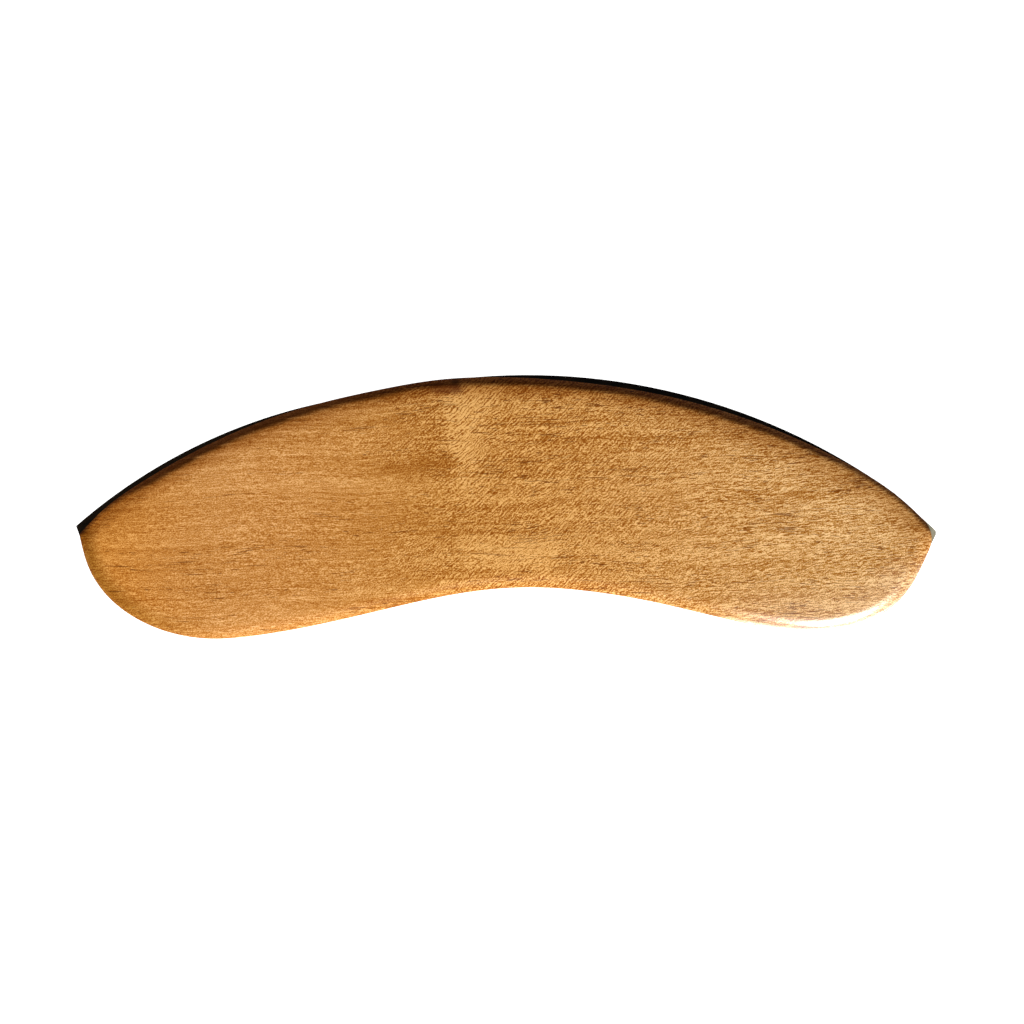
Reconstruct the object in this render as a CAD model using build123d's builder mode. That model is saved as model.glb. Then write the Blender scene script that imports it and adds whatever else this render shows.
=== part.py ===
"""A stick-on wooden arm rest for a guitar's lower bout, shaped much like a boomerang.

One carved board stands on a narrow foot that runs along its convex edge. The rest of its
underside is relieved, so that it clears the soundboard. Two lengths of black foam tape hold
the foot to the guitar, and each still has its release film on.

Frame: X along the board, +Y towards the convex edge, +Z up. The board is centred over the
origin, and Z = 0 is the surface that the release films lie on. Millimetres.
"""

import os
from math import sqrt

from build123d import *

os.makedirs("parts", exist_ok=True)

# --- Driving dimensions -----------------------------------------------------------------

film_thickness = 0.1
foam_thickness = 1.1
tape_width = 12.0

foot_bottom = film_thickness + foam_thickness
relief_height = 4.8          # the relieved underside, above the surface
board_top = 20.0             # the blank's top, before the crown is cut

bout_centre = (0.7, -151.9)  # the circle that the convex edge follows on the guitar
bout_radius = 186.6
foot_width = 15.6            # how far the foot runs in from that circle

crown_inner_radius = 118.0   # the crown's section, as distances from bout_centre
crown_middle_radius = 158.0
crown_outer_radius = 190.0
crown_inner_height = 9.9
crown_middle_height = 12.5
crown_outer_height = 12.1

left_corner = (-114.2, -7.4)
right_corner = (115.2, -7.0)
right_corner_radius = 7.0
top_round = 4.0
under_round = 1.8            # round the relieved underside: its outer edge and the foot's root

# Each tape was laid as an arc of its own, so its outer edge wanders out past the wood.
left_tape_centre = (-18.8, -115.0)
left_tape_radius = 146.1
left_tape_tip = (-115.15, -5.15)
left_tape_inner_tip = (-110.8, -17.4)
left_tape_end = -24.0

right_tape_centre = (5.7, -133.1)
right_tape_radius = 168.4
right_tape_end = -20.5
right_tape_turn = 104.2      # where its outer edge is trimmed off the arc
right_foam_corner = (111.2, -5.2)
right_foam_inner_tip = (109.8, -16.3)

# The right film keeps its untrimmed corner, which shows past the rounded wood.
right_film_corner = [(114.5, -5.8), (115.15, -6.6), (115.15, -7.5), (113.2, -11.4)]
right_film_inner_tip = (110.2, -16.6)


def on_circle(centre, radius, x):
    """The point at x on the upper half of a circle."""
    return (x, centre[1] + sqrt(radius**2 - (x - centre[0]) ** 2))


def upper_arc(centre, radius, start, end):
    """The arc over the top of a circle from one point of it to another."""
    middle_x = (start[0] + end[0]) / 2
    return ThreePointArc(start, on_circle(centre, radius, middle_x), end)


def left_tape_plan():
    """The left tape in plan: its left end is trimmed along the wood's end."""
    outer_end = on_circle(left_tape_centre, left_tape_radius, left_tape_end)
    inner_radius = left_tape_radius - tape_width
    inner_end = on_circle(left_tape_centre, inner_radius, left_tape_end)
    with BuildSketch() as plan:
        with BuildLine():
            upper_arc(left_tape_centre, left_tape_radius, left_tape_tip, outer_end)
            Line(outer_end, inner_end)
            upper_arc(left_tape_centre, inner_radius, inner_end, left_tape_inner_tip)
            Line(left_tape_inner_tip, left_tape_tip)
        make_face()
    return plan.sketch


def right_tape_plan(corner_points, inner_tip):
    """The right tape in plan, with its right end trimmed through the given corner points."""
    outer_start = on_circle(right_tape_centre, right_tape_radius, right_tape_end)
    outer_turn = on_circle(right_tape_centre, right_tape_radius, right_tape_turn)
    inner_radius = right_tape_radius - tape_width
    inner_start = on_circle(right_tape_centre, inner_radius, right_tape_end)
    with BuildSketch() as plan:
        with BuildLine():
            upper_arc(right_tape_centre, right_tape_radius, outer_start, outer_turn)
            Polyline(outer_turn, *corner_points, inner_tip)
            upper_arc(right_tape_centre, inner_radius, inner_tip, inner_start)
            Line(inner_start, outer_start)
        make_face()
    return plan.sketch


# --- The board: one piece of hardwood, foot and all -----------------------------------------

with BuildPart() as rest_body:
    with BuildSketch(Plane.XY.offset(foot_bottom)) as board_outline:
        with BuildLine():
            # The convex edge, which follows the guitar's bout and turns in a little at both ends.
            Spline(
                left_corner,
                (-107.3, -0.4),
                (-97.8, 6.4),
                (-81.9, 15.5),
                (-66.2, 22.5),
                (-50.3, 27.6),
                (-34.2, 31.3),
                (-18.2, 34.0),
                (-2.0, 34.7),
                (13.8, 33.9),
                (45.7, 29.0),
                (77.8, 18.2),
                (92.0, 11.2),
                (104.9, 2.8),
                right_corner,
            )
            # The arm's side: two lobes with a shallow waist between them.
            Spline(
                right_corner,
                (111.7, -15.0),
                (107.4, -22.6),
                (100.8, -28.6),
                (91.5, -32.3),
                (80.0, -33.4),
                (65.1, -31.4),
                (40.0, -25.6),
                (22.8, -22.7),
                (5.5, -21.6),
                (-11.7, -23.1),
                (-33.0, -27.6),
                (-54.0, -32.3),
                (-68.0, -34.6),
                (-79.7, -35.3),
                (-90.5, -33.5),
                (-100.3, -29.1),
                (-107.5, -23.0),
                (-111.6, -16.5),
                left_corner,
            )
        make_face()
        fillet(board_outline.vertices().sort_by(Axis.X)[-1], radius=right_corner_radius)
    extrude(amount=board_top - foot_bottom)

    # The crown, turned about the bout's own centre.
    section_plane = Plane(origin=(*bout_centre, 0), x_dir=(1, 0, 0), z_dir=(0, -1, 0))
    with BuildSketch(section_plane):
        with BuildLine():
            crown = ThreePointArc(
                (crown_inner_radius, crown_inner_height),
                (crown_middle_radius, crown_middle_height),
                (crown_outer_radius, crown_outer_height),
            )
            above = board_top + 1
            Polyline(
                crown @ 1,
                (crown_outer_radius, above),
                (crown_inner_radius, above),
                crown @ 0,
            )
        make_face()
    revolve(axis=Axis((*bout_centre, 0), (0, 0, 1)), mode=Mode.SUBTRACT)

    # The round-over along the whole top edge.
    fillet(rest_body.faces().sort_by(Axis.Z)[-1].edges(), radius=top_round)

    # The relieved underside, which leaves the foot standing along the convex edge.
    with BuildSketch():
        with Locations(bout_centre):
            Circle(bout_radius - foot_width)
    extrude(amount=relief_height, mode=Mode.SUBTRACT)
    fillet(rest_body.faces().filter_by(Plane.XY).sort_by(Axis.Z)[-1].edges(), radius=under_round)

rest_body.part.label = "rest_body"
export_step(rest_body.part, "parts/rest_body.step")


# --- The left tape: black foam, flush with the wood's left end ------------------------------

with BuildPart() as foam_strip_left:
    with BuildSketch(Plane.XY.offset(film_thickness)):
        add(left_tape_plan())
    extrude(amount=foam_thickness)

foam_strip_left.part.label = "foam_strip_left"
export_step(foam_strip_left.part, "parts/foam_strip_left.step")


# --- Its release film, cut along with it ----------------------------------------------------

with BuildPart() as liner_left:
    with BuildSketch():
        add(left_tape_plan())
    extrude(amount=film_thickness)

liner_left.part.label = "liner_left"
export_step(liner_left.part, "parts/liner_left.step")


# --- The right tape: black foam, trimmed back under the wood's rounded corner ---------------

with BuildPart() as foam_strip_right:
    with BuildSketch(Plane.XY.offset(film_thickness)):
        add(right_tape_plan([right_foam_corner], right_foam_inner_tip))
    extrude(amount=foam_thickness)

foam_strip_right.part.label = "foam_strip_right"
export_step(foam_strip_right.part, "parts/foam_strip_right.step")


# --- Its release film, whose corner is left untrimmed ---------------------------------------

with BuildPart() as liner_right:
    with BuildSketch():
        add(right_tape_plan(right_film_corner, right_film_inner_tip))
    extrude(amount=film_thickness)

liner_right.part.label = "liner_right"
export_step(liner_right.part, "parts/liner_right.step")
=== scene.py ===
"""A varnished hardwood arm rest for a guitar, lying on a white table with its tape still backed."""

import math

import bpy
import numpy as np
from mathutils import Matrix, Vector


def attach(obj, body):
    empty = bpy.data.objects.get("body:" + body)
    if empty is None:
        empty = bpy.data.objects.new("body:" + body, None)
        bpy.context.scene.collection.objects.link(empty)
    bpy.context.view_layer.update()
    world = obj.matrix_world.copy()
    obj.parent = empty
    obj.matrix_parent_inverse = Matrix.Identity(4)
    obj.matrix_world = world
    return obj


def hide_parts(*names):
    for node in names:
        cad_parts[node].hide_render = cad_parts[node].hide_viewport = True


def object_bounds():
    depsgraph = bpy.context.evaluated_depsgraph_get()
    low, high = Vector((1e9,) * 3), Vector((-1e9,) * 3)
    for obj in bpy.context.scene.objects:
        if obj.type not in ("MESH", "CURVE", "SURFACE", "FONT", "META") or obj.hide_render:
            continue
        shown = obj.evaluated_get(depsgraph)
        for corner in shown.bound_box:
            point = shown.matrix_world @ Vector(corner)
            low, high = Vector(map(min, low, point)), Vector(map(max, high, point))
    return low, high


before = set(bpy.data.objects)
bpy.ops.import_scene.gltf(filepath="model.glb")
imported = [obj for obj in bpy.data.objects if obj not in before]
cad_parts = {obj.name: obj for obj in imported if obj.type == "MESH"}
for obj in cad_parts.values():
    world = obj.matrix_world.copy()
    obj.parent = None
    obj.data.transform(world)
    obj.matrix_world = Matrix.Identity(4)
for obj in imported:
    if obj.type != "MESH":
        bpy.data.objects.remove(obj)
cad_low, cad_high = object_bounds()
mm = 0.001


# --- The camera -------------------------------------------------------------------------
# Looks straight down on the board from far above, through a long lens, so that the board's
# outline is seen square on and its sides are hidden.

view_width = 274.0 * mm
view_centre = Vector((1.6, -1.4, 9.0)) * mm
lens = 1200.0

camera_data = bpy.data.cameras.new("overhead_camera")
camera_data.lens = lens
camera_data.sensor_width = 36.0
camera_data.clip_end = 20.0
camera = bpy.data.objects.new("overhead_camera", camera_data)
camera.location = view_centre + Vector((0, 0, view_width * lens / camera_data.sensor_width))
bpy.context.scene.collection.objects.link(camera)
bpy.context.scene.camera = camera


# --- The table and the light --------------------------------------------------------------
# A plain white table top, a white room and a large soft box off to the lower right. A small soft
# box and a white card give the right lobe its sheen. They aren't part of the arm rest.

table_half = 4.0
table_gap = 0.02 * mm
table_z = cad_low[2] - table_gap
table_corners = [
    (-table_half, -table_half, table_z),
    (table_half, -table_half, table_z),
    (table_half, table_half, table_z),
    (-table_half, table_half, table_z),
]
table_mesh = bpy.data.meshes.new("table_top")
table_mesh.from_pydata(table_corners, [], [(0, 1, 2, 3)])
table = bpy.data.objects.new("table_top", table_mesh)
bpy.context.scene.collection.objects.link(table)
table_white = bpy.data.materials.new("matt_white_table")
table_white.use_nodes = True
table_shader = table_white.node_tree.nodes["Principled BSDF"]
table_shader.inputs["Base Color"].default_value = (0.93, 0.93, 0.93, 1)
table_shader.inputs["Roughness"].default_value = 0.9
table_shader.inputs["Specular IOR Level"].default_value = 0.1
table_shader.inputs["Emission Color"].default_value = (1, 1, 1, 1)
table_shader.inputs["Emission Strength"].default_value = 0.95
table.data.materials.append(table_white)

room = bpy.data.worlds.new("pale_room")
room.use_nodes = True
room.node_tree.nodes["Background"].inputs["Color"].default_value = (1, 1, 1, 1)
room.node_tree.nodes["Background"].inputs["Strength"].default_value = 0.67
bpy.context.scene.world = room


def soft_box(name, place, target, width, height, watts):
    """A rectangular soft box at a place, turned to face a target, in metres and watts."""
    light = bpy.data.lights.new(name, "AREA")
    light.shape = "RECTANGLE"
    light.size = width
    light.size_y = height
    light.energy = watts
    box = bpy.data.objects.new(name, light)
    box.location = place
    box.visible_camera = False
    box.rotation_euler = (Vector(target) - Vector(place)).to_track_quat("-Z", "Y").to_euler()
    bpy.context.scene.collection.objects.link(box)
    return box


soft_box(
    "key_box",
    place=(0.80, -1.90, 1.15),
    target=(0.0, 0.0, 0.0),
    width=1.5,
    height=1.2,
    watts=56.0,
)
lobe_box = soft_box(
    "lobe_box",
    place=(0.125, -0.31, 0.165),
    target=(0.090, -0.031, 0.01),
    width=0.11,
    height=0.32,
    watts=0.56,
)
lobe_card = soft_box(
    "lobe_card",
    place=(0.086, -0.062, 0.0004),
    target=(0.086, -0.062, 1.0),
    width=0.062,
    height=0.05,
    watts=0.13,
)
lobe_box.data.spread = math.radians(38)

# The lobe's box and card light nothing but the board, and only its sheen picks them up.
lit_by_lobe_lights = bpy.data.collections.new("lit_by_lobe_lights")
for box in (lobe_box, lobe_card):
    box.visible_diffuse = False
    box.light_linking.receiver_collection = lit_by_lobe_lights

bpy.context.scene.view_settings.view_transform = "Standard"
bpy.context.scene.view_settings.look = "None"


# --- The board ------------------------------------------------------------------------------
# One piece of dense, figured hardwood. It is sawn to outline, left standing on a narrow foot
# along its convex edge, rounded over with a router, sanded, and finished in clear varnish.

bout_centre = np.array((0.7, -151.9))
bout_radius = 186.6
foot_width = 15.6
foot_bottom = 1.2
relief_height = 4.8
top_round = 4.0
sanded_width = 11.0
sanded_depth = 0.9
under_round = 1.8
foot_arris = 0.35
foot_margin = 1.5
foot_run_out = 5.0
right_corner_radius = 7.0
quarter_turn = math.pi / 2

# The crown's section: distance from bout_centre, and height.
crown_inner = (118.0, 9.9)
crown_middle = (158.0, 12.5)
crown_outer = (190.0, 12.1)

left_corner = (-114.2, -7.4)
right_corner = (115.2, -7.0)
convex_points = [
    left_corner,
    (-107.3, -0.4),
    (-97.8, 6.4),
    (-81.9, 15.5),
    (-66.2, 22.5),
    (-50.3, 27.6),
    (-34.2, 31.3),
    (-18.2, 34.0),
    (-2.0, 34.7),
    (13.8, 33.9),
    (45.7, 29.0),
    (77.8, 18.2),
    (92.0, 11.2),
    (104.9, 2.8),
    right_corner,
]
arm_side_points = [
    left_corner,
    (-111.6, -16.5),
    (-107.5, -23.0),
    (-100.3, -29.1),
    (-90.5, -33.5),
    (-79.7, -35.3),
    (-68.0, -34.6),
    (-54.0, -32.3),
    (-33.0, -27.6),
    (-11.7, -23.1),
    (5.5, -21.6),
    (22.8, -22.7),
    (40.0, -25.6),
    (65.1, -31.4),
    (80.0, -33.4),
    (91.5, -32.3),
    (100.8, -28.6),
    (107.4, -22.6),
    (111.7, -15.0),
    right_corner,
]


def smooth_curve(points, count):
    """Evenly spaced places on the natural cubic spline through the points, and its directions."""
    points = np.array(points, float)
    steps = np.hypot(*np.diff(points, axis=0).T)
    knots = np.concatenate(([0.0], np.cumsum(steps)))
    n = len(points)
    system = np.eye(n)
    bends = np.zeros((n, 2))
    for i in range(1, n - 1):
        system[i, i - 1 : i + 2] = steps[i - 1], 2 * (steps[i - 1] + steps[i]), steps[i]
        rise = (points[i + 1] - points[i]) / steps[i] - (points[i] - points[i - 1]) / steps[i - 1]
        bends[i] = 6 * rise
    curving = np.linalg.solve(system, bends)
    at = np.linspace(0, knots[-1], count)
    span = np.clip(np.searchsorted(knots, at, side="right") - 1, 0, n - 2)
    step = steps[span][:, None]
    ahead = (knots[span + 1] - at)[:, None]
    behind = (at - knots[span])[:, None]
    before, after = curving[span], curving[span + 1]
    start = points[span] / step - before * step / 6
    end = points[span + 1] / step - after * step / 6
    places = (before * ahead**3 + after * behind**3) / (6 * step) + start * ahead + end * behind
    slopes = (after * behind**2 - before * ahead**2) / (2 * step) - start + end
    return places, slopes / np.hypot(*slopes.T)[:, None]


def first_crossing(one, other):
    """Where two polylines first cross: the leg numbers on each, and the point."""
    p, r = one[:-1, None], np.diff(one, axis=0)[:, None]
    q, s = other[None, :-1], np.diff(other, axis=0)[None]
    cross = r[..., 0] * s[..., 1] - r[..., 1] * s[..., 0]
    gap = q - p
    with np.errstate(divide="ignore", invalid="ignore"):
        along = (gap[..., 0] * s[..., 1] - gap[..., 1] * s[..., 0]) / cross
        across = (gap[..., 0] * r[..., 1] - gap[..., 1] * r[..., 0]) / cross
    hits = np.argwhere((along >= 0) & (along <= 1) & (across >= 0) & (across <= 1))
    i, j = hits[0]
    return i, j, one[i] + along[i, j] * (one[i + 1] - one[i])


edge_count = 3000
convex_line, convex_heading = smooth_curve(convex_points, edge_count)
arm_line, arm_heading = smooth_curve(arm_side_points, edge_count)
convex_inward = np.c_[convex_heading[:, 1], -convex_heading[:, 0]]
arm_inward = np.c_[-arm_heading[:, 1], arm_heading[:, 0]]

# The circle that rounds the right corner in plan touches both edges. The two halves of the
# outline meet half way round it.
from_right_convex = (convex_line + right_corner_radius * convex_inward)[::-1]
from_right_arm = (arm_line + right_corner_radius * arm_inward)[::-1]
i, j, corner_centre = first_crossing(from_right_convex, from_right_arm)
convex_end = len(convex_line) - 1 - i
arm_end = len(arm_line) - 1 - j
middle_outward = -convex_inward[convex_end] - arm_inward[arm_end]
corner_turn_middle = math.atan2(middle_outward[1], middle_outward[0])
half_count = 241
corner_count = 60
end_crowding = 0.44


def edge_half(line, inward, last, inset, start):
    """One long edge at an inset: from the left corner, along, and half way round the right one."""
    run = (line + inset * inward)[:last]
    run = run[np.hypot(*(run - start).T).argmin() + 1 :]
    outward = run[-1] - corner_centre
    turn_start = math.atan2(outward[1], outward[0])
    turn = np.linspace(turn_start, corner_turn_middle, corner_count)[1:]
    radius = right_corner_radius - inset
    arc = corner_centre + radius * np.c_[np.cos(turn), np.sin(turn)]
    whole = np.concatenate(([start], run, arc))
    length = np.concatenate(([0.0], np.cumsum(np.hypot(*np.diff(whole, axis=0).T))))
    even = np.linspace(0, 1, half_count)
    # Closer together towards both ends, where the outline turns.
    share = even - end_crowding * np.sin(2 * math.pi * even) / (2 * math.pi)
    at = share * length[-1]
    return np.c_[np.interp(at, length, whole[:, 0]), np.interp(at, length, whole[:, 1])]


def outline_at(inset):
    """The board's outline at an inset, anticlockwise from above, from the left corner."""
    if inset > 0:
        convex_inset = convex_line + inset * convex_inward
        arm_inset = arm_line + inset * arm_inward
        start = first_crossing(convex_inset, arm_inset)[2]
    else:
        start = convex_line[0]
    arm_half = edge_half(arm_line, arm_inward, arm_end, inset, start)
    convex_half = edge_half(convex_line, convex_inward, convex_end, inset, start)
    return np.concatenate((arm_half, convex_half[-2:0:-1]))


def distance_from(line, plan):
    """The distance from each point in plan to the nearest point of a line."""
    nearest = np.full(len(plan), np.inf)
    for x, y in line:
        nearest = np.minimum(nearest, np.hypot(plan[:, 0] - x, plan[:, 1] - y))
    return nearest


def crown_height(plan):
    """The crowned top: an arc in section, turned about bout_centre and sanded off to the edge."""
    (x1, z1), (x2, z2), (x3, z3) = crown_inner, crown_middle, crown_outer
    left = np.array([[x2 - x1, z2 - z1], [x3 - x2, z3 - z2]])
    right = np.array([(x2**2 - x1**2 + z2**2 - z1**2) / 2, (x3**2 - x2**2 + z3**2 - z2**2) / 2])
    cx, cz = np.linalg.solve(left, right)
    radius = math.hypot(x1 - cx, z1 - cz)
    reach = np.hypot(*(plan - bout_centre).T)
    sanded = sanded_depth * np.clip(1 - distance_from(outline, plan) / sanded_width, 0, 1) ** 2
    return cz + np.sqrt(radius**2 - (reach - cx) ** 2) - sanded


outline = outline_at(0.0)


def filled_grid(ring, rows):
    """Rows of points from the arm's side across to the convex edge, inside one ring."""
    arm_half = ring[:half_count]
    convex_half = np.concatenate((ring[:1], ring[: half_count - 2 : -1]))
    grid = []
    for share in np.linspace(0, 1, rows + 2)[1:-1]:
        grid.append(arm_half[1:-1] * (1 - share) + convex_half[1:-1] * share)
    return grid


def board_mesh():
    """The whole blank: foot arris, under-round, side, round-over and crown, closed below."""
    base = outline_at(0.0)
    count = len(base)
    reach = np.hypot(*(base - bout_centre).T)
    # 1 along the relieved arm's side, running out to 0 at both ends, where the foot stands.
    relieved = np.clip((bout_radius - foot_width - foot_margin - reach) / foot_run_out, 0, 1)
    relieved = relieved * relieved * (3 - 2 * relieved)
    rings = []

    def blend(low, high):
        return low * (1 - relieved[:, None]) + high * relieved[:, None]

    def ring(inset_foot, inset_relief, z):
        plan = blend(outline_at(inset_foot), outline_at(inset_relief))
        rings.append(np.c_[plan, np.full(count, z)])

    mid_arris = 0.3 * foot_arris
    under_relief = 0.6
    under_round_rings, top_round_rings = 6, 13
    foot_rows, crown_rows = 24, 44
    ring(foot_arris, under_round, foot_bottom)
    ring(mid_arris, under_round, foot_bottom + mid_arris)
    ring(0.0, under_round, foot_bottom + foot_arris)
    ring(0.0, under_round, relief_height - under_relief)
    for turn in np.linspace(0, quarter_turn, under_round_rings):
        ring(0.0, under_round * (1 - math.sin(turn)), relief_height + under_round * (1 - math.cos(turn)))
    for turn in np.linspace(0, quarter_turn, top_round_rings):
        inset = top_round * (1 - math.cos(turn))
        plan = outline_at(inset)
        drop = (top_round - sanded_depth) * (1 - math.sin(turn))
        rings.append(np.c_[plan, crown_height(plan) - drop])

    vertices = [tuple(v) for level in rings for v in level]
    faces = []
    for k in range(len(rings) - 1):
        for a in range(count):
            b = (a + 1) % count
            faces.append((k * count + a, k * count + b, (k + 1) * count + b, (k + 1) * count + a))

    def close(ring_start, ring_plan, height, rows, upward):
        """Closes the first or last ring with a grid of quads."""
        lines = [list(range(ring_start + 1, ring_start + half_count - 1))]
        for row in filled_grid(ring_plan, rows):
            lines.append(list(range(len(vertices), len(vertices) + len(row))))
            vertices.extend((x, y, z) for (x, y), z in zip(row, height(row)))
        lines.append([ring_start + count - k for k in range(1, half_count - 1)])
        left, right = ring_start, ring_start + half_count - 1
        for low, high in zip(lines, lines[1:]):
            loops = [(left, low[0], high[0]), (low[-1], right, high[-1])]
            loops += [(a, b, c, d) for a, b, c, d in zip(low, low[1:], high[1:], high)]
            faces.extend(loop if upward else loop[::-1] for loop in loops)

    close(0, rings[0][:, :2], lambda row: np.full(len(row), foot_bottom), foot_rows, False)
    close((len(rings) - 1) * count, rings[-1][:, :2], crown_height, crown_rows, True)
    mesh = bpy.data.meshes.new("board")
    mesh.from_pydata([Vector(v) * mm for v in vertices], [], faces)
    mesh.validate()
    return mesh


def relief_cutter():
    """What the router takes out from under the board: a disc with a rounded upper edge."""
    rim = bout_radius - foot_width
    root = under_round
    near, below = 60.0, -2.0
    root_points, turn_count = 9, 260
    section = [(near, below), (rim, below), (rim, relief_height - root)]
    for turn in np.linspace(0, quarter_turn, root_points)[1:]:
        section.append((rim - root * (1 - math.cos(turn)), relief_height - root * (1 - math.sin(turn))))
    section.append((near, relief_height))
    turns = np.linspace(math.radians(30), math.radians(150), turn_count)
    vertices = []
    for turn in turns:
        for reach, z in section:
            x = bout_centre[0] + reach * math.cos(turn)
            y = bout_centre[1] + reach * math.sin(turn)
            vertices.append(Vector((x, y, z)) * mm)
    n = len(section)
    faces = [tuple(range(n)), tuple(range(len(vertices) - 1, len(vertices) - 1 - n, -1))]
    for k in range(len(turns) - 1):
        for a in range(n):
            b = (a + 1) % n
            faces.append((k * n + b, k * n + a, (k + 1) * n + a, (k + 1) * n + b))
    mesh = bpy.data.meshes.new("relief_cutter")
    mesh.from_pydata(vertices, [], faces)
    cutter = bpy.data.objects.new("relief_cutter", mesh)
    bpy.context.scene.collection.objects.link(cutter)
    return cutter


def cut_away(piece, cutter):
    """Cuts one solid out of another for good."""
    cut = piece.modifiers.new("relief", "BOOLEAN")
    cut.operation = "DIFFERENCE"
    cut.solver = "EXACT"
    cut.object = cutter
    bpy.context.view_layer.update()
    graph = bpy.context.evaluated_depsgraph_get()
    finished = bpy.data.meshes.new_from_object(piece.evaluated_get(graph))
    piece.modifiers.clear()
    piece.data = finished
    bpy.data.objects.remove(cutter)


board = bpy.data.objects.new("board", board_mesh())
bpy.context.scene.collection.objects.link(board)
cut_away(board, relief_cutter())
for face in board.data.polygons:
    face.use_smooth = True
board.data.set_sharp_from_angle(angle=math.radians(35))
lit_by_lobe_lights.objects.link(board)
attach(board, "rest")
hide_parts("rest_body")

# Each point of the board knows how far it lies from the convex edge and from the arm's side,
# because painted shade darkens the colour towards the edges. Every eighth point of each line will do.
places = np.empty(len(board.data.vertices) * 3, np.float32)
board.data.vertices.foreach_get("co", places)
board_plan = places.reshape(-1, 3)[:, :2] / mm
for name, line in (("from_convex_edge", convex_line), ("from_arm_edge", arm_line)):
    layer = board.data.attributes.new(name, "FLOAT", "POINT")
    layer.data.foreach_set("value", distance_from(line[::8], board_plan).astype(np.float32))


def add_node(tree, kind, inputs=(), **settings):
    """A shader node with its settings, and its inputs set or linked."""
    new = tree.nodes.new("ShaderNode" + kind)
    for key, value in settings.items():
        setattr(new, key, value)
    for key, value in dict(inputs).items():
        if isinstance(value, bpy.types.NodeSocket):
            tree.links.new(value, new.inputs[key])
        else:
            new.inputs[key].default_value = value
    return new


def sum_of(tree, *terms):
    """The sum of (value, weight) pairs."""
    total = 0.0
    for value, weight in terms:
        total = add_node(
            tree, "Math", {0: value, 1: weight, 2: total}, operation="MULTIPLY_ADD"
        ).outputs[0]
    return total


def stretched_noise(tree, place, stretch, detail=2.0, roughness=0.5, spread=0.2):
    """Noise drawn out to a given size along each axis, in millimetres, from about -1 to 1."""
    sized = add_node(
        tree,
        "VectorMath",
        {0: place, 1: tuple(1 / size for size in stretch)},
        operation="MULTIPLY",
    )
    noise = add_node(
        tree,
        "TexNoise",
        {"Vector": sized.outputs[0], "Scale": 1.0, "Detail": detail, "Roughness": roughness},
    )
    ranged = add_node(
        tree,
        "MapRange",
        {0: noise.outputs["Fac"], 1: 0.5 - spread, 2: 0.5 + spread, 3: -1.0, 4: 1.0},
    )
    return ranged.outputs[0]


def fade(tree, value, start, end, low=0.0, high=1.0):
    """A smooth rise or fall of low to high while the value goes from start to end."""
    node = add_node(
        tree,
        "MapRange",
        {0: value, 1: start, 2: end, 3: low, 4: high},
        interpolation_type="SMOOTHSTEP",
    )
    return node.outputs[0]


def turned(tree, place, degrees):
    """The place, turned in plan, so that a pattern runs at an angle to the board."""
    node = add_node(
        tree,
        "VectorRotate",
        {"Vector": place, "Angle": math.radians(-degrees)},
        rotation_type="Z_AXIS",
    )
    return node.outputs[0]


def wandering(tree, place, scale, reach):
    """The place, shifted smoothly by up to about half the reach, so that lines through it wave."""
    noise = add_node(tree, "TexNoise", {"Vector": place, "Scale": scale, "Detail": 1.0})
    middle = (0.5, 0.5, 0.5)
    centred = add_node(tree, "VectorMath", {0: noise.outputs["Color"], 1: middle}, operation="SUBTRACT")
    shift = add_node(tree, "VectorMath", {0: centred.outputs[0], "Scale": 2.0 * reach}, operation="SCALE")
    return add_node(tree, "VectorMath", {0: place, 1: shift.outputs[0]}, operation="ADD").outputs[0]


def place_in_mm(tree):
    """Each point's place in the board's own frame, in millimetres."""
    metres = add_node(tree, "TexCoord").outputs["Object"]
    return add_node(tree, "VectorMath", {0: metres, "Scale": 1 / mm}, operation="SCALE").outputs[0]


def larger(tree, first, second):
    """The larger of two values."""
    return add_node(tree, "Math", {0: first, 1: second}, operation="MAXIMUM").outputs[0]


def spot_reach(tree, place, x, y, squeeze):
    """How far each point lies from a spot, measured with its own scale along and across."""
    moved = add_node(tree, "VectorMath", {0: place, 1: (-x, -y, 0)}, operation="ADD").outputs[0]
    flat = add_node(tree, "VectorMath", {0: moved, 1: (*squeeze, 0)}, operation="MULTIPLY").outputs[0]
    return add_node(tree, "VectorMath", {0: flat}, operation="LENGTH").outputs["Value"]


def multiply(tree, *values):
    """The product of several values."""
    total = values[0]
    for value in values[1:]:
        total = add_node(tree, "Math", {0: total, 1: value}, operation="MULTIPLY").outputs[0]
    return total


def blend_colour(tree, share, first, second, mode="MIX"):
    """A colour mixed or multiplied by share from two others."""
    node = tree.nodes.new("ShaderNodeMix")
    node.data_type = "RGBA"
    node.blend_type = mode
    for key, value in ((0, share), (6, first), (7, second)):
        if isinstance(value, bpy.types.NodeSocket):
            tree.links.new(value, node.inputs[key])
        else:
            node.inputs[key].default_value = value if key == 0 else (*value, 1.0)
    return node.outputs[2]


dark_honey = (0.240, 0.060, 0.002)
honey = (0.456, 0.186, 0.030)
pale_honey = (0.785, 0.430, 0.140)
pore_brown = (0.14, 0.034, 0.002)
knot_brown = (0.10, 0.032, 0.012)
stain_brown = (0.17, 0.045, 0.010)

# These multiply the wood's colour.
left_part_tint = (1.13, 1.16, 1.48)
left_tip_tint = (1.035, 0.92, 0.60)
right_part_tint = (1.12, 1.33, 1.95)
# The next three are painted shade for the board's edges.
brown_painted_shade = (0.66, 0.50, 0.30)
left_end_painted_shade = (0.54, 0.50, 0.30)
dark_painted_shade = (0.15, 0.115, 0.10)

wood = bpy.data.materials.new("varnished_hardwood")
wood.use_nodes = True
tree = wood.node_tree
shader = tree.nodes["Principled BSDF"]
place = place_in_mm(tree)
split = add_node(tree, "SeparateXYZ", {0: place})
along, across, height = split.outputs

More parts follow.
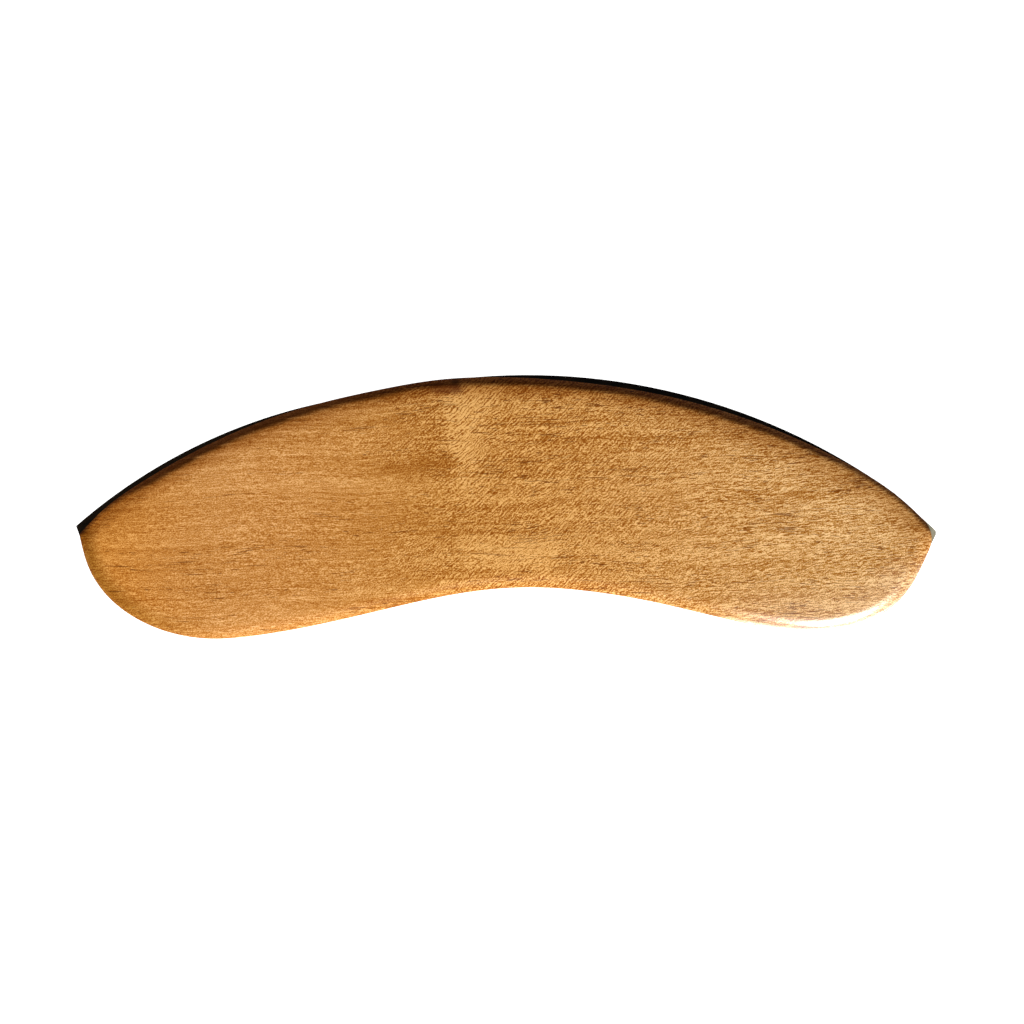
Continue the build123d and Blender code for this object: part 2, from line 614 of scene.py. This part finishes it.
# The fibres wander a little, and climb by about two degrees towards the right.
fibre_place = turned(tree, wandering(tree, place, 0.03, 2.4), 2.0)
growth_bands = stretched_noise(tree, fibre_place, (110, 4.2, 20), 3, 0.5)
soft_streaks = stretched_noise(tree, fibre_place, (52, 0.8, 8), 3, 0.6)
fibres = stretched_noise(tree, fibre_place, (2.3, 0.25, 2), 1, 0.5, 0.16)
grit = stretched_noise(tree, fibre_place, (0.36, 0.2, 1), 0, 0.5, 0.16)
clouds = stretched_noise(tree, place, (30, 13, 20), 2, 0.5)

# Silky ripples lie across the fibres, a millimetre apart and broken into short flecks. They come
# in left of the middle, and lie down towards the fibres on the right.


def fine_ripple(tree, place, degrees, spacing):
    """Ripples along an angle, from -1 to 1, that wander, break off and change in strength."""
    lain = turned(tree, place, degrees)
    offset = add_node(tree, "SeparateXYZ", {0: lain}).outputs[1]
    breaks = stretched_noise(tree, lain, (2.1, 0.9, 3), 1, 0.5)
    phase = sum_of(tree, (offset, 2 * math.pi / spacing), (breaks, 2.5))
    wave = add_node(tree, "Math", {0: phase}, operation="SINE").outputs[0]
    strength = stretched_noise(tree, lain, (1.7, 1.0, 3), 1, 0.5)
    return multiply(tree, wave, fade(tree, strength, -0.8, 0.8, 0.2, 1.3))


rippling = wandering(tree, place, 0.10, 1.7)
steep_ripple = fine_ripple(tree, rippling, 41, 0.80)
low_ripple = fine_ripple(tree, rippling, 18, 0.76)
lying_down = fade(tree, sum_of(tree, (along, 1.0), (clouds, 22.0)), 22, 88)
ripple_fall = add_node(tree, "Math", {0: low_ripple, 1: steep_ripple}, operation="SUBTRACT").outputs[0]
ripple = sum_of(tree, (steep_ripple, 1.0), (multiply(tree, ripple_fall, lying_down), 1.0))
ripple_start = sum_of(tree, (clouds, 14.0), (soft_streaks, 5.0), (along, 1.0))
ripple_strength = sum_of(
    tree,
    (fade(tree, ripple_start, -44, -4, 0.12, 1.0), 1.0),
    (fade(tree, along, 20, 80), -0.3),
)
# The ripples show on the flat of the board and fade out down its sides.
ripples = multiply(tree, ripple, ripple_strength, fade(tree, height, 5.0, 9.0, 0.25, 1.0))

# Two pale patches near the middle, where the ripples catch the light, and shade left of them.
band_edge = sum_of(tree, (soft_streaks, 1.6), (clouds, 3.5), (along, 1.0))
band_left = fade(tree, band_edge, -16.5, -11.0)
band_right = fade(tree, band_edge, -9.5, 0.5, 1.0, 0.0)
band_foot = fade(tree, across, 2, 14)
pale_band = multiply(tree, band_left, band_right, band_foot)
shadow_left = fade(tree, band_edge, -40, -24)
shadow_right = fade(tree, band_edge, -18, -12, 1.0, 0.0)
band_shadow = multiply(tree, shadow_left, shadow_right, band_foot)
patch_left = fade(tree, band_edge, -16, -9)
patch_right = fade(tree, band_edge, 10, 20, 1.0, 0.0)
patch_top = fade(tree, across, -10, -6.0, 1.0, 0.0)
patch_foot = fade(tree, across, -20, -13)
pale_patch = multiply(tree, patch_left, patch_right, patch_top, patch_foot)

# Thin pale lines, a centimetre or two long, run with the fibres.
line_noise = stretched_noise(tree, fibre_place, (13, 0.32, 3), 1, 0.5)
pale_lines = fade(tree, line_noise, 0.55, 1.0)

streak_strength = fade(tree, along, -70, -5, 0.68, 1.12)
tone = sum_of(
    tree,
    (multiply(tree, growth_bands, streak_strength), 0.26),
    (multiply(tree, soft_streaks, streak_strength), 0.37),
    (fibres, 0.40),
    (multiply(tree, fibres, fade(tree, along, 10, 70)), 0.38),
    (grit, 0.54),
    (multiply(tree, grit, ripple_strength), 0.40),
    (pale_lines, 0.5),
    (clouds, 0.09),
    (ripples, 0.9),
    (multiply(tree, ripples, pale_band), 0.8),
    (pale_band, 0.74),
    (pale_patch, 0.5),
    (band_shadow, -0.22),
)
ramp = tree.nodes.new("ShaderNodeValToRGB")
ramp.color_ramp.elements[0].color = (*dark_honey, 1)
ramp.color_ramp.elements[1].color = (*pale_honey, 1)
ramp.color_ramp.elements.new(0.5).color = (*honey, 1)
tone_share = add_node(tree, "MapRange", {0: tone, 1: -1.2, 2: 1.2, 3: 0.0, 4: 1.0}).outputs[0]
tree.links.new(tone_share, ramp.inputs[0])

# The wood is paler left of the middle and towards the right, and a richer orange at the left tip.
left_part = fade(tree, along, -12, -70)
left_tip = fade(tree, along, -75, -112)
right_part = fade(tree, along, 0, 105)
colour = blend_colour(tree, left_part, ramp.outputs[0], left_part_tint, "MULTIPLY")
colour = blend_colour(tree, left_tip, colour, left_tip_tint, "MULTIPLY")
colour = blend_colour(tree, right_part, colour, right_part_tint, "MULTIPLY")

# Open pores, filled dark: short thin streaks that follow the fibres.
pore_noise = stretched_noise(tree, fibre_place, (3.0, 0.32, 1.2), 1, 0.5)
pore_groups = stretched_noise(tree, fibre_place, (20, 3.0, 8), 2, 0.5)
more_to_the_right = fade(tree, along, -90, 30)
pore_level = sum_of(tree, (pore_noise, 1.0), (pore_groups, 0.42), (more_to_the_right, 0.3))
pores = fade(tree, pore_level, 1.06, 1.28)
long_noise = stretched_noise(tree, fibre_place, (10, 0.3, 3), 1, 0.5)
long_groups = stretched_noise(tree, fibre_place, (45, 6.0, 9), 1, 0.5)
longer_to_the_right = fade(tree, along, -30, 50)
long_level = sum_of(tree, (long_noise, 1.0), (long_groups, 0.35), (longer_to_the_right, 0.14))
long_pores = fade(tree, long_level, 0.98, 1.22)
all_pores = larger(tree, pores, long_pores)
colour = blend_colour(tree, multiply(tree, all_pores, 0.78), colour, pore_brown)

# A pin knot on the rim, with a reddish brown stain beside it.
knot_reach = spot_reach(tree, place, -13.6, 33.2, (0.8, 0.42))
knot = fade(tree, sum_of(tree, (knot_reach, 1.0), (fibres, 0.25)), 0.25, 1.6, 1.0, 0.0)
colour = blend_colour(tree, multiply(tree, knot, 0.75), colour, knot_brown)
stain_reach = spot_reach(tree, place, -16.0, 31.6, (0.15, 0.5))
stain = fade(tree, sum_of(tree, (stain_reach, 1.0), (soft_streaks, 0.2)), 0.3, 1.1, 1.0, 0.0)
colour = blend_colour(tree, multiply(tree, stain, 0.7), colour, stain_brown)

# Painted shade: the colour goes dark brown round the convex edge, and near black at the rim, where the
# round-over turns away from the light. It is a little darker at the left end as well.
from_convex = add_node(tree, "Attribute", attribute_name="from_convex_edge").outputs["Fac"]
from_arm = add_node(tree, "Attribute", attribute_name="from_arm_edge").outputs["Fac"]
thinner_at_left = fade(tree, along, -88, -110)
thinner_at_right = fade(tree, along, 55, 112)
uneven = sum_of(
    tree,
    (from_convex, 1.0),
    (soft_streaks, 0.22),
    (clouds, 0.2),
    (thinner_at_left, 1.3),
    (thinner_at_right, 0.9),
)
# Painted shade, near black, along the rim of the convex edge.
rim_deep_shade_mask = fade(tree, uneven, 1.2, 2.8, 1.0, 0.0)
# Painted shade, brown, further in from the convex rim, and wider towards the right.
soft_shade_reach = fade(tree, along, 20, 90, 7.0, 11.5)
rim_soft_shade_mask = fade(tree, uneven, 2.0, soft_shade_reach, 1.0, 0.0)
# Painted shade near the edge at the left end, where the round-over faces away from the light.
left_end_shade_mask = multiply(tree, fade(tree, from_arm, 0.8, 6.0, 1.0, 0.0), fade(tree, along, -66, -106))
colour = blend_colour(tree, multiply(tree, rim_soft_shade_mask, 0.8), colour, brown_painted_shade, "MULTIPLY")
colour = blend_colour(tree, left_end_shade_mask, colour, left_end_painted_shade, "MULTIPLY")
colour = blend_colour(tree, rim_deep_shade_mask, colour, dark_painted_shade, "MULTIPLY")
tree.links.new(colour, shader.inputs["Base Color"])

# Thin satin varnish that sinks a little into the pores and ripples. The rim under the painted shade is
# dull, and the right lobe is buffed glossy where it curves over to the arm's side.
roughness = sum_of(tree, (all_pores, 0.18), (grit, 0.03), (1.0, 0.52))
tree.links.new(roughness, shader.inputs["Roughness"])
shader.inputs["Specular IOR Level"].default_value = 0.0
inside_the_rim = fade(tree, from_convex, 1.2, 5.0, 0.02, 0.07)
flat_coat = multiply(tree, inside_the_rim, fade(tree, along, -80, 60, 0.6, 1.0))
buffed_edge = fade(tree, from_arm, 4.5, 15.0, 1.0, 0.0)
buffed = multiply(tree, buffed_edge, fade(tree, along, 48, 84), fade(tree, across, -9, -21))
tree.links.new(larger(tree, flat_coat, buffed), shader.inputs["Coat Weight"])
shader.inputs["Coat Roughness"].default_value = 0.34
shader.inputs["Coat IOR"].default_value = 1.6
relief = sum_of(tree, (all_pores, -1.0), (ripples, 0.3), (fibres, 0.15))
bump = add_node(tree, "Bump", {"Strength": 0.35, "Distance": 0.00006, "Height": relief})
tree.links.new(bump.outputs[0], shader.inputs["Normal"])
board.data.materials.append(wood)


# --- The tape ---------------------------------------------------------------------------------
# Two lengths of black closed-cell foam tape, stuck under the foot. Each was laid along the edge
# by hand and trimmed at its ends with a knife. Wood dust clings to it, mostly at the left.

# The tape's black is also painted shade: where it shows beyond the convex edge, it is a dark strip
# standing in for the shade along that edge.
foam_black_and_edge_shade = (0.002, 0.0018, 0.0017)
foam_worn = (0.005, 0.0046, 0.0042)
dust_brown = (0.020, 0.013, 0.008)

foam = bpy.data.materials.new("black_foam_and_edge_shade")
foam.use_nodes = True
tree = foam.node_tree
shader = tree.nodes["Principled BSDF"]
place = place_in_mm(tree)
along = add_node(tree, "SeparateXYZ", {0: place}).outputs[0]
cells = add_node(tree, "TexVoronoi", {"Vector": place, "Scale": 3.2}).outputs["Distance"]
smears = stretched_noise(tree, place, (5, 1.2, 1), 3, 0.6)
dustier_at_left = fade(tree, along, -50, 0, 0.55, 0.0)
dust_level = sum_of(tree, (smears, 0.35), (dustier_at_left, 1.0), (cells, 0.3))
dust = fade(tree, dust_level, 0.05, 0.8)
colour = blend_colour(tree, fade(tree, cells, 0.1, 0.6), foam_black_and_edge_shade, foam_worn)
colour = blend_colour(tree, dust, colour, dust_brown)
tree.links.new(colour, shader.inputs["Base Color"])
roughness = fade(tree, cells, 0.0, 0.6, 0.78, 0.95)
tree.links.new(roughness, shader.inputs["Roughness"])
shader.inputs["Specular IOR Level"].default_value = 0.05
bump = add_node(tree, "Bump", {"Strength": 0.6, "Distance": 0.00008, "Height": cells})
tree.links.new(bump.outputs[0], shader.inputs["Normal"])
for name in ("foam_strip_left", "foam_strip_right"):
    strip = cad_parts[name]
    strip.data.materials.clear()
    strip.data.materials.append(foam)


# --- The release film ---------------------------------------------------------------------------
# Thin siliconed film, grey-green and slightly see-through, left on the tape until the arm rest
# is fitted. It is mottled, and creased a little from the roll.

film_dark = (0.27, 0.27, 0.19)
film_pale = (0.44, 0.42, 0.31)

film = bpy.data.materials.new("release_film")
film.use_nodes = True
tree = film.node_tree
shader = tree.nodes["Principled BSDF"]
place = place_in_mm(tree)
creases = stretched_noise(tree, turned(tree, place, 62), (7, 0.9, 2), 2, 0.5)
mottling = stretched_noise(tree, place, (1.6, 1.6, 1.6), 3, 0.6)
tint = sum_of(tree, (creases, 0.30), (mottling, 0.25))
colour = blend_colour(tree, fade(tree, tint, -0.5, 0.5), film_dark, film_pale)
tree.links.new(colour, shader.inputs["Base Color"])
roughness = fade(tree, mottling, -1.0, 1.0, 0.28, 0.42)
tree.links.new(roughness, shader.inputs["Roughness"])
shader.inputs["Transmission Weight"].default_value = 0.25
shader.inputs["IOR"].default_value = 1.45
shader.inputs["Specular IOR Level"].default_value = 0.3
bump = add_node(tree, "Bump", {"Strength": 0.4, "Distance": 0.00005, "Height": creases})
tree.links.new(bump.outputs[0], shader.inputs["Normal"])
for name in ("liner_left", "liner_right"):
    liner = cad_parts[name]
    liner.data.materials.clear()
    liner.data.materials.append(film)
